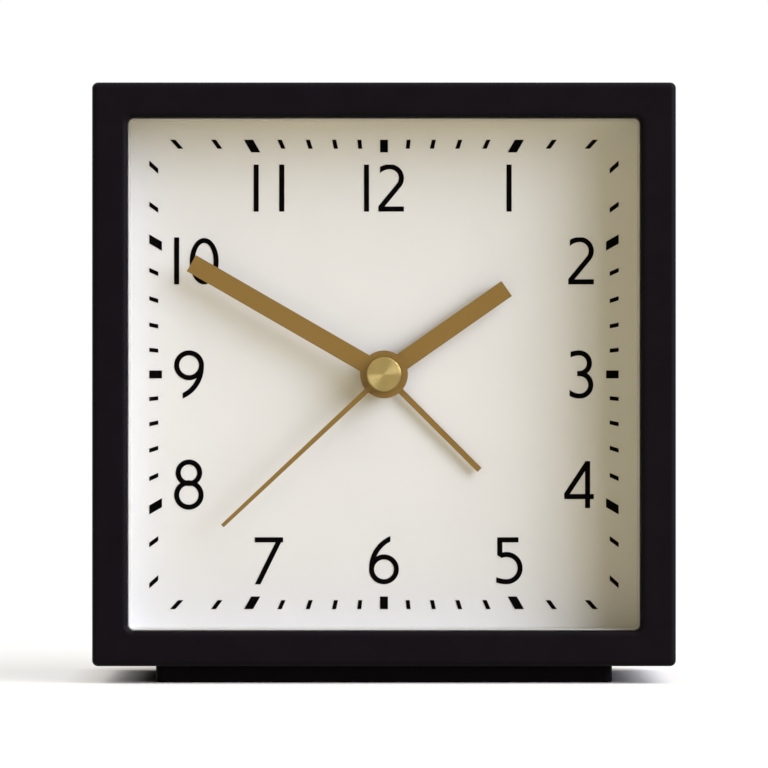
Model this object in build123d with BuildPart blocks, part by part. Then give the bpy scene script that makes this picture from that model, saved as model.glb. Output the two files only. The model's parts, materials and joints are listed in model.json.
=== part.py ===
from build123d import *

import os
from math import acos, cos, pi, radians, sin, tan

# A square table alarm clock on a low plinth, with its quartz alarm movement. Lengths are in millimetres.
# The origin is in the middle of the plinth's underside. +X is the viewer's right, +Y runs from the dial
# to the back and +Z is up. A depth is a place along +Y. A place is a pair of X and Z from the hands' axis.

os.makedirs("parts", exist_ok=True)

# Case, plinth and window
case_side = 100.0
case_depth = 42.0
case_wall = 2.5
case_edge_radius = 1.0
bezel_thickness = 2.5
bezel_border = 6.1
window_corner_radius = 1.0
window_edge_radius = 1.0
rim_edge_radius = 0.5
post_side = 3.4
post_radius = 1.5
plinth_height = 3.0
plinth_inset = 10.7
plinth_setback = 4.5
plinth_corner_radius = 1.5
plinth_edge_radius = 0.3
plinth_screw_inset = 9.3
plinth_screw_length = 3.4

# Lens, spacer, dial and its print
lens_thickness = 1.5
spacer_depth = 7.0
dial_thickness = 0.5
print_thickness = 0.06
stack_clearance = 0.15
post_clearance = 0.2
track_margin = 3.2
minute_mark_length = 1.55
minute_mark_width = 0.68
hour_mark_length = 2.19
hour_mark_width = 1.37
numeral_margin = 4.3
numeral_height = 8.15
numeral_stroke = 0.88

# Hands
hand_thickness = 0.4
hand_step = 0.8
hand_seat_clearance = 0.01
tube_proud = 0.15
minute_hand_width = 3.2
minute_hand_gap = 0.1
minute_boss_radius = 4.13
hour_hand_width = 3.15
hour_hand_gap = 2.35
hour_boss_radius = 4.0
second_hand_width = 0.92
second_hand_tip_width = 0.64
second_hand_gap = 0.3
second_boss_radius = 2.2
alarm_hand_width = 1.05
alarm_hand_tip_width = 1.0
alarm_hand_gap = 4.85
alarm_boss_radius = 3.7
cap_radius = 2.98
cap_height = 1.5
cap_bore_depth = 0.9
cap_edge_radius = 0.3
minute_hand_angle = 300.0
hour_hand_angle = 55.0
second_hand_angle = 226.85
alarm_hand_angle = 135.0

# Arbors and tubes on the hands' axis, and the running fits
running_clearance = 0.05
second_arbor_radius = 0.6
cannon_wall = 0.55
hour_tube_wall = 0.6
alarm_tube_wall = 0.6
pipe_wall = 0.65
pipe_proud = 0.3
pipe_hole_clearance = 0.2
clutch_length = 1.0
clutch_wall = 0.3
setting_arbor_radius = 1.0
setting_pivot_radius = 0.7
train_arbor_radius = 0.45
pivot_radius = 0.35
pivot_length = 1.2
pivot_end_gap = 0.2

# Wheel train
layer_gap = 0.5
motion_wheel_thickness = 1.2
train_wheel_thickness = 1.0
train_distance = 10.0
setting_distance = 11.0
alarm_distance = 11.2
rotor_distance = 7.0
second_wheel_teeth = 50
second_pinion_teeth = 10
intermediate_pinion_teeth = 10
intermediate_wheel_teeth = 60
rotor_pinion_teeth = 10
third_wheel_teeth = 80
third_pinion_teeth = 10
centre_wheel_teeth = 75
cannon_teeth = 12
minute_wheel_teeth = 36
minute_pinion_teeth = 10
hour_wheel_teeth = 40
alarm_wheel_teeth = 42
alarm_pinion_teeth = 14
pressure_angle = radians(25)
addendum_share = 0.8
dedendum_share = 1.05
gear_play = 0.08

# Movement plates and housing
front_plate_thickness = 2.0
mid_plate_thickness = 1.5
mid_plate_clearance = 0.3
rear_wall_thickness = 2.0
housing_wall = 1.5
housing_corner_radius = 2.0
rear_gap = 0.9
wheel_gap = 0.5
screw_post_radius = 2.0
screw_post_inset = 3.5

# Battery cell, contacts and bay
cell_diameter = 14.5
cell_length = 50.5
cell_nub_radius = 2.6
cell_nub_length = 1.0
cell_edge_radius = 0.6
cell_front_gap = 0.4
cell_back_gap = 1.1
bay_clearance = 0.75
contact_room = 2.25
contact_thickness = 0.3
contact_height = 11.0
contact_width = 7.0
contact_clearance = 0.1

# Stepping motor
magnet_radius = 2.2
magnet_length = 2.8
magnet_gap = 1.1
stator_bore_clearance = 0.5
stator_rim = 1.0
stator_thickness = 1.0
stator_half_span = 12.0
stator_arm_width = 3.3
coil_rise = 8.0
core_height = 2.4
core_thickness = 1.0
core_clearance = 0.05
flange_radius = 3.0
flange_thickness = 0.6
bobbin_wall = 0.4
bobbin_gap = 0.3
winding_radius = 2.7
stator_post_radius = 1.2

# Circuit board, sounder and alarm contact
board_stator_gap = 2.0
board_height = 18.0
board_thickness = 1.0
board_standoff = 3.5
board_wall_gap = 1.0
board_base_height = 2.0
board_post_radius = 1.2
board_post_inset = 2.0
crystal_radius = 1.0
crystal_length = 6.0
crystal_gap = 0.05
crystal_chip_gap = 0.5
chip_side = 5.0
chip_height = 1.0
sounder_margin = 0.25
sounder_wall = 0.6
sounder_ledge = 0.6
sounder_gap = 0.4
disc_thickness = 0.3
disc_clearance = 0.05
slot_margin = 2.5
slot_width = 1.2
slot_pitch = 2.4
slot_count = 3
leaf_thickness = 0.2
leaf_lift = 0.3
leaf_length = 18.0
leaf_width = 3.5
leaf_reach = 4.0
leaf_drop = 4.25
leaf_post_radius = 1.5

# Back cover, door, knobs, switch and screws
cover_thickness = 2.5
cover_hole_clearance = 0.3
door_gap = 0.3
door_pin_radius = 0.6
door_pin_length = 1.5
door_pin_end_gap = 0.3
door_grip_length = 16.0
door_grip_height = 4.0
door_grip_depth = 0.8
door_grip_margin = 2.0
knob_radius = 6.0
knob_height = 6.5
knob_gap = 0.5
knob_bore_depth = 5.0
knob_edge_radius = 0.6
knob_dish_radius = 4.2
knob_dish_depth = 0.5
knob_groove_count = 30
knob_groove_radius = 0.35
switch_rise = 14.0
switch_wall_gap = 7.5
switch_travel = 4.0
switch_plate_length = 8.0
switch_plate_height = 6.0
switch_plate_thickness = 1.0
switch_stem_length = 3.0
switch_stem_height = 3.0
switch_stand = 2.0
switch_rib_width = 0.5
switch_rib_count = 2
switch_clearance = 0.3
small_screw_radius = 0.5
small_head_radius = 1.2
small_head_height = 0.8
small_screw_length = 7.0
screw_radius = 0.75
screw_head_radius = 1.5
screw_head_height = 1.0
screw_clearance = 0.05
screw_tip_gap = 0.4
screw_slot_width = 0.35
screw_slot_depth = 0.4
head_clearance = 0.15

# Places of the numerals as shares of the numeral square's half: a share of one puts the outer edge on it
numeral_place_shares = {
    1: (0.596, 1),
    2: (1, 0.541),
    3: (1, 0),
    4: (1, -0.525),
    5: (0.598, -1),
    6: (0, -1),
    7: (-0.548, -1),
    8: (-1, -0.525),
    9: (-1, 0),
    10: (-1, 0.541),
    11: (-0.548, 1),
    12: (0, 1),
}

# Gap between the two digits of a numeral, as a share of the numeral height
digit_gap_shares = {10: 0.224, 11: 0.437, 12: 0.198}

# Width and height of each digit, as shares of the numeral height
digit_size_shares = {
    "0": (0.617, 0.987),
    "1": (0.108, 1),
    "2": (0.545, 1),
    "3": (0.517, 1.023),
    "4": (0.632, 1),
    "5": (0.562, 1),
    "6": (0.636, 1.028),
    "7": (0.604, 1),
    "8": (0.628, 1.068),
    "9": (0.636, 1.028),
}

# Straight strokes of each digit, from the lower left corner, as shares of the numeral height
digit_line_shares = {
    "1": [((0.054, 0), (0.054, 1))],
    "2": [((0.452, 0.578), (0.02, 0.054)), ((0, 0.054), (0.545, 0.054))],
    "3": [((0.162, 0.53), (0.213, 0.53))],
    "4": [((0.498, 0), (0.498, 1)), ((0, 0.246), (0.632, 0.246)), ((0.021, 0.246), (0.498, 0.966))],
    "5": [((0.021, 0.946), (0.472, 0.946)), ((0.075, 0.622), (0.075, 1)), ((0.066, 0.592), (0.094, 0.634))],
    "7": [((0, 0.946), (0.604, 0.946)), ((0.012, -0.1), (0.602, 1.1))],
}

# Round strokes: centre and radius as shares of the numeral height, then start and sweep in degrees
digit_arc_shares = {
    "2": [((0.247, 0.594), 0.36, 140, -50), ((0.247, 0.711), 0.243, 90, -129.5)],
    "3": [
        ((0.202, 0.531), 0.44, 120, -30),
        ((0.202, 0.751), 0.22, 90, -180),
        ((0.213, 0.289), 0.239, 90, -180),
        ((0.213, 0.41), 0.36, -90, -48),
    ],
    "5": [((0.217, 0.345), 0.29, 116.5, -206.5), ((0.217, 0.655), 0.6, -90, -25)],
    "6": [((0.318, 0.319), 0.264, 0, 360), ((0.738, 0.349), 0.683, 180, -68)],
    "8": [((0.315, 0.786), 0.229, 0, 360), ((0.314, 0.314), 0.26, 0, 360)],
    "9": [((0.318, 0.709), 0.264, 0, 360), ((-0.102, 0.679), 0.683, 0, -68)],
}

# Upright cuts at the ends of round strokes: low and high corners, as shares of the numeral height
digit_cut_shares = {
    "2": ((-0.1, 0.5), (0.033, 1.1)),
    "3": ((-0.1, 0.53), (0.021, 1.1)),
    "6": ((0.455, 0.7), (0.7, 1.1)),
    "9": ((-0.1, -0.1), (0.181, 0.328)),
}

# Sizes and depths that follow from the driving ones
axis_height = plinth_height + case_side / 2
case_front = -case_depth / 2
case_back = case_depth / 2
bezel_back = case_front + bezel_thickness
lens_back = bezel_back + lens_thickness
dial_front = lens_back + spacer_depth
dial_back = dial_front + dial_thickness
cavity_half = case_side / 2 - case_wall
window_half = case_side / 2 - bezel_border
stack_half = cavity_half - stack_clearance
post_start = cavity_half - post_side
post_place = cavity_half - post_side / 2
plinth_screw_spacing = case_side - 2 * (plinth_inset + plinth_screw_inset)
track_half = window_half - track_margin
numeral_half = track_half - numeral_margin

# Wheel layers, from the dial to the back
front_plate_back = dial_back + front_plate_thickness
alarm_layer = front_plate_back + layer_gap
hour_layer = alarm_layer + motion_wheel_thickness + layer_gap
minute_layer = hour_layer + motion_wheel_thickness + layer_gap
mid_plate_front = minute_layer + motion_wheel_thickness + layer_gap
mid_plate_back = mid_plate_front + mid_plate_thickness
centre_layer = mid_plate_back + layer_gap
third_layer = centre_layer + train_wheel_thickness + layer_gap
second_layer = third_layer + train_wheel_thickness + layer_gap
rotor_layer = second_layer + train_wheel_thickness + layer_gap
cell_back = front_plate_back + cell_front_gap + cell_diameter
train_back = rotor_layer + train_wheel_thickness + rear_gap
cover_front = max(train_back + rear_wall_thickness, cell_back + cell_back_gap)
rear_wall_front = cover_front - rear_wall_thickness
cover_back = cover_front + cover_thickness

# Hand depths: the front face of each hand, counted from the dial
alarm_hand_front = dial_front - hand_step - hand_thickness
hour_hand_front = alarm_hand_front - hand_step - hand_thickness
minute_hand_front = hour_hand_front - hand_step - hand_thickness
second_hand_front = minute_hand_front - hand_step - hand_thickness
cap_front = second_hand_front - cap_height
hand_reach = track_half - hour_mark_length

# Radii on the hands' axis, each tube running in the next
cannon_bore = second_arbor_radius + running_clearance
cannon_radius = cannon_bore + cannon_wall
hour_tube_bore = cannon_radius + running_clearance
hour_tube_radius = hour_tube_bore + hour_tube_wall
alarm_tube_bore = hour_tube_radius + running_clearance
alarm_tube_radius = alarm_tube_bore + alarm_tube_wall
pipe_bore = alarm_tube_radius + running_clearance
pipe_radius = pipe_bore + pipe_wall
clutch_radius = cannon_bore + clutch_wall

# Arbor places and gear modules
centre_place = (0, 0)
setting_place = (setting_distance, 0)
alarm_place = (-alarm_distance, 0)
third_place = (0, -train_distance)
intermediate_place = (0, train_distance)
rotor_place = (0, train_distance + rotor_distance)
second_module = 2 * train_distance / (second_wheel_teeth + intermediate_pinion_teeth)
rotor_module = 2 * rotor_distance / (intermediate_wheel_teeth + rotor_pinion_teeth)
third_module = 2 * train_distance / (second_pinion_teeth + third_wheel_teeth)
centre_module = 2 * train_distance / (third_pinion_teeth + centre_wheel_teeth)
minute_module = 2 * setting_distance / (cannon_teeth + minute_wheel_teeth)
hour_module = 2 * setting_distance / (minute_pinion_teeth + hour_wheel_teeth)
alarm_module = 2 * alarm_distance / (alarm_wheel_teeth + alarm_pinion_teeth)
third_tip_radius = third_module * (third_wheel_teeth / 2 + addendum_share)

# Housing and bay, as heights above the hands' axis
coil_height = train_distance + rotor_distance + coil_rise
housing_half = cell_length / 2 + contact_room + housing_wall
inner_half = housing_half - housing_wall
housing_top = coil_height + flange_radius + wheel_gap + housing_wall
chamber_bottom = -(train_distance + third_tip_radius + wheel_gap)
bay_top = chamber_bottom - housing_wall
bay_bottom = bay_top - cell_diameter - 2 * bay_clearance
housing_bottom = bay_bottom - housing_wall
cell_height = (bay_top + bay_bottom) / 2
cell_depth = front_plate_back + cell_front_gap + cell_diameter / 2
screw_side = inner_half - screw_post_inset
screw_places = [
    (side * screw_side, height)
    for side in (-1, 1)
    for height in (chamber_bottom + screw_post_inset, housing_top - housing_wall - screw_post_inset)
]

# Motor, board and switch places
magnet_front = mid_plate_back + magnet_gap
stator_front = magnet_front + (magnet_length - stator_thickness) / 2
stator_back = stator_front + stator_thickness
stator_bore = magnet_radius + stator_bore_clearance
stator_arm_place = stator_half_span - stator_arm_width / 2
coil_depth = stator_back + core_thickness / 2
bobbin_half = stator_half_span - stator_arm_width - bobbin_gap
hub_radius = core_height / 2 + bobbin_wall
board_front = mid_plate_back + board_standoff
board_back = board_front + board_thickness
board_width = inner_half - board_wall_gap - board_stator_gap - stator_half_span
board_side = -inner_half + board_wall_gap + board_width / 2
board_middle = board_base_height + board_height / 2
board_posts = [
    (board_side, board_base_height + board_post_inset),
    (board_side, board_base_height + board_height - board_post_inset),
]
sounder_place = (board_side, board_middle)
sounder_radius = board_width / 2 - sounder_margin
slot_length = 2 * (sounder_radius - slot_margin)
sounder_front = board_back + sounder_gap
leaf_front = hour_layer + motion_wheel_thickness + leaf_lift
leaf_place = (-leaf_reach - leaf_length / 2, -leaf_drop)
leaf_post_place = (-leaf_reach - leaf_length + leaf_width / 2, -leaf_drop)
switch_side = inner_half - switch_wall_gap
switch_place = (switch_side, switch_rise)
switch_pocket_front = cover_front - switch_plate_thickness - switch_clearance
door_axis_depth = cover_front + cover_thickness / 2
door_axis_height = bay_bottom + door_gap + cover_thickness / 2
door_half = inner_half - door_gap
door_rise = bay_top - door_gap - door_axis_height
floor_height = plinth_height + case_wall
plinth_head_top = floor_height - head_clearance
plinth_head_seat = plinth_head_top - screw_head_height
plinth_screw_tip = plinth_head_seat - plinth_screw_length


def front_plane(depth, place=(0, 0)):
    """A plane that faces the front at a depth, with its origin at a place beside the hands' axis."""
    return Plane(origin=(place[0], depth, axis_height + place[1]), x_dir=(1, 0, 0), z_dir=(0, -1, 0))


def side_plane(x, depth, height):
    """A plane that faces +X, with depth to its right, at a height above the hands' axis."""
    return Plane(origin=(x, depth, axis_height + height), x_dir=(0, 1, 0), z_dir=(1, 0, 0))


def clock_point(angle, reach, side):
    """A point of the dial plane at a clockwise angle from twelve, a reach from the axis and a side step."""
    turn = radians(angle)
    return (reach * sin(turn) + side * cos(turn), reach * cos(turn) - side * sin(turn))


def add_disc(place, front, back, radius, mode=Mode.ADD):
    """A round slice of the part, or a round hole in it, between two depths."""
    with BuildSketch(front_plane(front, place)) as disc:
        Circle(radius)
    extrude(disc.sketch, amount=front - back, mode=mode)


def add_tube(place, front, back, radius, bore):
    """A round slice of the part with a bore, between two depths."""
    with BuildSketch(front_plane(front, place)) as ring:
        Circle(radius)
        Circle(bore, mode=Mode.SUBTRACT)
    extrude(ring.sketch, amount=front - back)


def add_block(place, size, front, back, mode=Mode.ADD):
    """A square-edged slice of the part, or a cut in it, between two depths."""
    with BuildSketch(front_plane(front, place)) as block:
        Rectangle(size[0], size[1])
    extrude(block.sketch, amount=front - back, mode=mode)


def involute(angle):
    """The involute function of an angle."""
    return tan(angle) - angle


def tooth_half_angle(teeth, module, radius):
    """Half the angle that a tooth fills at a radius, thinned for the play between gears."""
    pitch_radius = teeth * module / 2
    base_radius = pitch_radius * cos(pressure_angle)
    flank_angle = acos(min(1, base_radius / radius))
    pitch_half_angle = pi / (2 * teeth) - gear_play / (4 * pitch_radius)
    return pitch_half_angle + involute(pressure_angle) - involute(flank_angle)


def gear_outline(teeth, module, phase):
    """The outline points of a gear with a tooth at the phase, an angle anticlockwise from +X."""
    pitch_radius = teeth * module / 2
    base_radius = pitch_radius * cos(pressure_angle)
    root_radius = pitch_radius - dedendum_share * module
    tip_radius = pitch_radius + addendum_share * module
    rising = [root_radius, pitch_radius, tip_radius]
    if base_radius > root_radius:
        rising.insert(1, base_radius)
    points = []
    for tooth in range(teeth):
        middle = phase + 2 * pi * tooth / teeth
        for side, radii in ((-1, rising), (1, rising[::-1])):
            for radius in radii:
                angle = middle + side * tooth_half_angle(teeth, module, radius)
                points.append((radius * cos(angle), radius * sin(angle)))
    return points


def meshed_phase(teeth, phase, mate_teeth, direction):
    """The phase of a mate, so that a gear's teeth stand in the mate's spaces along a direction."""
    return direction + pi - (teeth / mate_teeth) * (phase - direction) + pi / mate_teeth


def add_gear(place, front, thickness, teeth, module, phase, bore=0):
    """A toothed slice of the part, bored where a bore is given."""
    with BuildSketch(front_plane(front, place)) as outline:
        with BuildLine():
            Polyline(*gear_outline(teeth, module, phase), close=True)
        make_face()
        if bore:
            Circle(bore, mode=Mode.SUBTRACT)
    extrude(outline.sketch, amount=-thickness)


def corner_squares(depth, start, radius):
    """Four squares in the corners of the case, each with its inner corner rounded."""
    reach = case_side / 2 - case_wall / 2
    with BuildSketch(front_plane(depth)) as squares:
        with GridLocations(start + reach, start + reach, 2, 2):
            Rectangle(reach - start, reach - start)
        inner_corners = squares.vertices().sort_by_distance((0, 0, 0))[:4]
        fillet(inner_corners, radius)
    return squares.sketch


def add_stack_plate(front, back):
    """A plate of the case's size that goes in from the back, past the corner posts."""
    add_block(centre_place, (2 * stack_half, 2 * stack_half), front, back)
    notches = corner_squares(front, post_start - post_clearance, post_radius + post_clearance)
    extrude(notches, amount=front - back, mode=Mode.SUBTRACT)


def add_hand(angle, reach, root_width, tip_width, boss_radius, bore, front):
    """A flat pressed hand: a bar with a square tip on a round boss."""
    with BuildSketch(front_plane(front)) as outline:
        with BuildLine():
            Polyline(
                clock_point(angle, 0, -root_width / 2),
                clock_point(angle, reach, -tip_width / 2),
                clock_point(angle, reach, tip_width / 2),
                clock_point(angle, 0, root_width / 2),
                close=True,
            )
        make_face()
        Circle(boss_radius)
        Circle(bore, mode=Mode.SUBTRACT)
    extrude(outline.sketch, amount=-hand_thickness)


def add_screw(place, head_back, length, radius, head_radius, head_height):
    """A screw driven from the back: a flat head with a cross slot, and a plain shank."""
    head_front = head_back - head_height
    add_disc(place, head_front, head_back, head_radius)
    add_disc(place, head_front - length, head_front, radius)
    for size in ((2 * radius, screw_slot_width), (screw_slot_width, 2 * radius)):
        add_block(place, size, head_back - screw_slot_depth, head_back, Mode.SUBTRACT)


def add_pivots(place, front, back, radius):
    """A train arbor between the middle plate and the rear wall, with a thin pivot at each end."""
    add_disc(place, front, back, radius)
    add_disc(place, front - pivot_length, front, pivot_radius)
    add_disc(place, back, back + pivot_length, pivot_radius)


def digit_sketch(digit, left, bottom):
    """A digit of even stroke on the dial, with its lower left corner at left and bottom."""
    width_share, height_share = digit_size_shares[digit]
    width = width_share * numeral_height
    height = height_share * numeral_height
    with BuildSketch(front_plane(dial_front, (left, bottom))) as glyph:
        if digit == "0":
            with Locations((width / 2, height / 2)):
                Ellipse(width / 2, height / 2)
                Ellipse(width / 2 - numeral_stroke, height / 2 - numeral_stroke, mode=Mode.SUBTRACT)
        for start, end in digit_line_shares.get(digit, []):
            with BuildLine():
                Line(Vector(*start) * numeral_height, Vector(*end) * numeral_height)
            trace(line_width=numeral_stroke)
        for centre, radius_share, start_angle, sweep in digit_arc_shares.get(digit, []):
            for half_start in (start_angle, start_angle + sweep / 2):
                with BuildLine():
                    middle = Vector(*centre) * numeral_height
                    CenterArc(middle, radius_share * numeral_height, half_start, sweep / 2)
                trace(line_width=numeral_stroke)
        with Locations((width / 2, height / 2)):
            Rectangle(width, height, mode=Mode.INTERSECT)
        if digit in digit_cut_shares:
            low, high = (Vector(*corner) * numeral_height for corner in digit_cut_shares[digit])
            with Locations((low + high) / 2):
                Rectangle(high.X - low.X, high.Y - low.Y, mode=Mode.SUBTRACT)
    return glyph.sketch


def numeral_edge(share, size):
    """The low edge of a numeral of a size, from its share of the numeral square's half."""
    if abs(share) == 1:
        return numeral_half - size if share > 0 else -numeral_half
    return share * numeral_half - size / 2


def track_mark(angle, length, width):
    """The corners of a track bar that points at the axis, cut off square to the side it stands on."""
    quarter = round(angle / 90)
    lean = radians(angle - 90 * quarter)
    half_span = width / 2 / cos(lean)
    corners = []
    for reach, sides in ((track_half - length, (-1, 1)), (track_half, (1, -1))):
        for side in sides:
            corners.append(clock_point(90 * quarter, reach, reach * tan(lean) + side * half_span))
    return corners


# Case shell with its bezel and the four corner posts that take the cover screws
with BuildPart() as case_shell:
    with BuildSketch(front_plane(case_front)):
        Rectangle(case_side, case_side)
    extrude(amount=-case_depth)
    fillet(case_shell.edges(), case_edge_radius)
    with BuildSketch(front_plane(bezel_back)):
        Rectangle(2 * cavity_half, 2 * cavity_half)
    extrude(amount=bezel_back - case_back, mode=Mode.SUBTRACT)
    with BuildSketch(front_plane(case_front)):
        RectangleRounded(2 * window_half, 2 * window_half, window_corner_radius)
    extrude(amount=-bezel_thickness, mode=Mode.SUBTRACT)
    window_rim = case_shell.faces().sort_by(Axis.Y)[0].inner_wires()[0].edges()
    fillet(window_rim, window_edge_radius)
    back_rim = case_shell.faces().sort_by(Axis.Y)[-1].inner_wires()[0].edges()
    fillet(back_rim, rim_edge_radius)
    extrude(corner_squares(bezel_back, post_start, post_radius), amount=bezel_back - cover_front)
    with Locations(front_plane(cover_front)):
        with GridLocations(2 * post_place, 2 * post_place, 2, 2):
            pilot_depth = small_screw_length + screw_tip_gap
            Cylinder(
                small_screw_radius + screw_clearance,
                pilot_depth,
                align=(Align.CENTER, Align.CENTER, Align.MIN),
                mode=Mode.SUBTRACT,
            )
    with Locations(Plane.XY.offset(floor_height)):
        with GridLocations(plinth_screw_spacing, 0, 2, 1):
            CounterBoreHole(
                screw_radius + screw_clearance,
                screw_head_radius + head_clearance,
                floor_height - plinth_head_seat,
                depth=case_wall,
            )
case_shell.part.label = "case_shell"
export_step(case_shell.part, "parts/case_shell.step")

# Plinth under the case, with blind holes for its two screws
with BuildPart() as plinth:
    with BuildSketch():
        RectangleRounded(case_side - 2 * plinth_inset, case_depth - 2 * plinth_setback, plinth_corner_radius)
    extrude(amount=plinth_height)
    fillet(plinth.faces().sort_by(Axis.Z)[0].edges(), plinth_edge_radius)
    with Locations(Plane.XY.offset(plinth_height)):
        with GridLocations(plinth_screw_spacing, 0, 2, 1):
            Hole(screw_radius + screw_clearance, depth=plinth_height - plinth_screw_tip + screw_tip_gap)
plinth.part.label = "plinth"
export_step(plinth.part, "parts/plinth.step")

# Two screws that hold the plinth, with their heads sunk in the case floor
with BuildPart() as plinth_screws:
    with BuildSketch(Plane.XY.offset(plinth_head_seat)):
        with GridLocations(plinth_screw_spacing, 0, 2, 1):
            Circle(screw_head_radius)
    extrude(amount=screw_head_height)
    with BuildSketch(Plane.XY.offset(plinth_head_seat)):
        with GridLocations(plinth_screw_spacing, 0, 2, 1):
            Circle(screw_radius)
    extrude(amount=-plinth_screw_length)
    with BuildSketch(Plane.XY.offset(plinth_head_top)):
        with GridLocations(plinth_screw_spacing, 0, 2, 1):
            Rectangle(2 * screw_radius, screw_slot_width)
            Rectangle(screw_slot_width, 2 * screw_radius)
    extrude(amount=-screw_slot_depth, mode=Mode.SUBTRACT)
plinth_screws.part.label = "plinth_screws"
export_step(plinth_screws.part, "parts/plinth_screws.step")

# Clear lens behind the bezel
with BuildPart() as lens:
    add_stack_plate(bezel_back, lens_back)
lens.part.label = "lens"
export_step(lens.part, "parts/lens.step")

# Spacer ring that keeps the dial back from the lens
with BuildPart() as dial_spacer:
    add_stack_plate(lens_back, dial_front)
    with BuildSketch(front_plane(lens_back)):
        RectangleRounded(2 * window_half, 2 * window_half, window_corner_radius)
    extrude(amount=-spacer_depth, mode=Mode.SUBTRACT)
dial_spacer.part.label = "dial_spacer"
export_step(dial_spacer.part, "parts/dial_spacer.step")

# Dial plate with a hole for the movement's centre pipe
with BuildPart() as dial_plate:
    add_stack_plate(dial_front, dial_back)
    add_disc(centre_place, dial_front, dial_back, pipe_radius + pipe_hole_clearance, Mode.SUBTRACT)
dial_plate.part.label = "dial_plate"
export_step(dial_plate.part, "parts/dial_plate.step")

# Hour numerals, a thin print on the dial
with BuildPart() as hour_numerals:
    for hour, (x_share, z_share) in numeral_place_shares.items():
        digits = str(hour)
        widths = [digit_size_shares[digit][0] * numeral_height for digit in digits]
        height = max(digit_size_shares[digit][1] for digit in digits) * numeral_height
        gap = digit_gap_shares.get(hour, 0) * numeral_height
        left = numeral_edge(x_share, sum(widths) + gap)
        bottom = numeral_edge(z_share, height)
        for digit, width in zip(digits, widths):
            extrude(digit_sketch(digit, left, bottom), amount=print_thickness)
            left += width + gap
hour_numerals.part.label = "hour_numerals"
export_step(hour_numerals.part, "parts/hour_numerals.step")

# Minute track, a square of bars with a broader bar at each hour
with BuildPart() as minute_track:
    with BuildSketch(front_plane(dial_front)):
        for minute in range(60):
            on_hour = minute % 5 == 0
            mark_length = hour_mark_length if on_hour else minute_mark_length
            mark_width = hour_mark_width if on_hour else minute_mark_width
            with BuildLine():
                Polyline(*track_mark(6 * minute, mark_length, mark_width), close=True)
            make_face()
    extrude(amount=print_thickness)
minute_track.part.label = "minute_track"
export_step(minute_track.part, "parts/minute_track.step")

# Second wheel: arbor, wheel and pinion in one, with the arbor reaching through to the cap
second_phase = 0
with BuildPart() as second_wheel:
    arbor_front = second_hand_front - cap_bore_depth
    arbor_back = rear_wall_front - running_clearance
    add_disc(centre_place, arbor_front, arbor_back, second_arbor_radius)
    add_disc(centre_place, arbor_back, rear_wall_front + pivot_length, pivot_radius)
    add_gear(centre_place, third_layer, train_wheel_thickness, second_pinion_teeth, third_module, second_phase)
    add_gear(centre_place, second_layer, train_wheel_thickness, second_wheel_teeth, second_module, second_phase)
second_wheel.part.label = "second_wheel"
export_step(second_wheel.part, "parts/second_wheel.step")

# Second hand
with BuildPart() as second_hand:
    add_hand(
        second_hand_angle,
        hand_reach - second_hand_gap,
        second_hand_width,
        second_hand_tip_width,
        second_boss_radius,
        second_arbor_radius + hand_seat_clearance,
        second_hand_front,
    )
second_hand.part.label = "second_hand"
export_step(second_hand.part, "parts/second_hand.step")

# Turned brass cap on the end of the second arbor, with a flat face and a rounded rim
with BuildPart() as second_hand_cap:
    add_disc(centre_place, cap_front, second_hand_front, cap_radius)
    fillet(second_hand_cap.faces().sort_by(Axis.Y)[0].edges(), cap_edge_radius)
    cap_bore_front = arbor_front - hand_seat_clearance
    cap_bore = second_arbor_radius + hand_seat_clearance
    add_disc(centre_place, cap_bore_front, second_hand_front, cap_bore, Mode.SUBTRACT)
second_hand_cap.part.label = "second_hand_cap"
export_step(second_hand_cap.part, "parts/second_hand_cap.step")

# Intermediate wheel, between the rotor and the second wheel
intermediate_pinion_phase = meshed_phase(second_wheel_teeth, second_phase, intermediate_pinion_teeth, pi / 2)
intermediate_wheel_phase = 0
with BuildPart() as intermediate_wheel:
    add_pivots(
        intermediate_place,
        mid_plate_back + running_clearance,
        rear_wall_front - running_clearance,
        train_arbor_radius,
    )
    add_gear(
        intermediate_place,
        second_layer,
        train_wheel_thickness,
        intermediate_pinion_teeth,
        second_module,
        intermediate_pinion_phase,
    )
    add_gear(
        intermediate_place,
        rotor_layer,
        train_wheel_thickness,
        intermediate_wheel_teeth,
        rotor_module,
        intermediate_wheel_phase,
    )
intermediate_wheel.part.label = "intermediate_wheel"
export_step(intermediate_wheel.part, "parts/intermediate_wheel.step")

# Rotor arbor with its pinion
rotor_phase = meshed_phase(intermediate_wheel_teeth, intermediate_wheel_phase, rotor_pinion_teeth, pi / 2)
with BuildPart() as rotor_arbor:
    add_pivots(
        rotor_place,
        mid_plate_back + running_clearance,
        rear_wall_front - running_clearance,
        train_arbor_radius,
    )
    add_gear(rotor_place, rotor_layer, train_wheel_thickness, rotor_pinion_teeth, rotor_module, rotor_phase)
rotor_arbor.part.label = "rotor_arbor"
export_step(rotor_arbor.part, "parts/rotor_arbor.step")

# Rotor magnet, pressed on the rotor arbor
with BuildPart() as rotor_magnet:
    magnet_bore = train_arbor_radius + hand_seat_clearance
    add_tube(rotor_place, magnet_front, magnet_front + magnet_length, magnet_radius, magnet_bore)
rotor_magnet.part.label = "rotor_magnet"
export_step(rotor_magnet.part, "parts/rotor_magnet.step")

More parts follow.
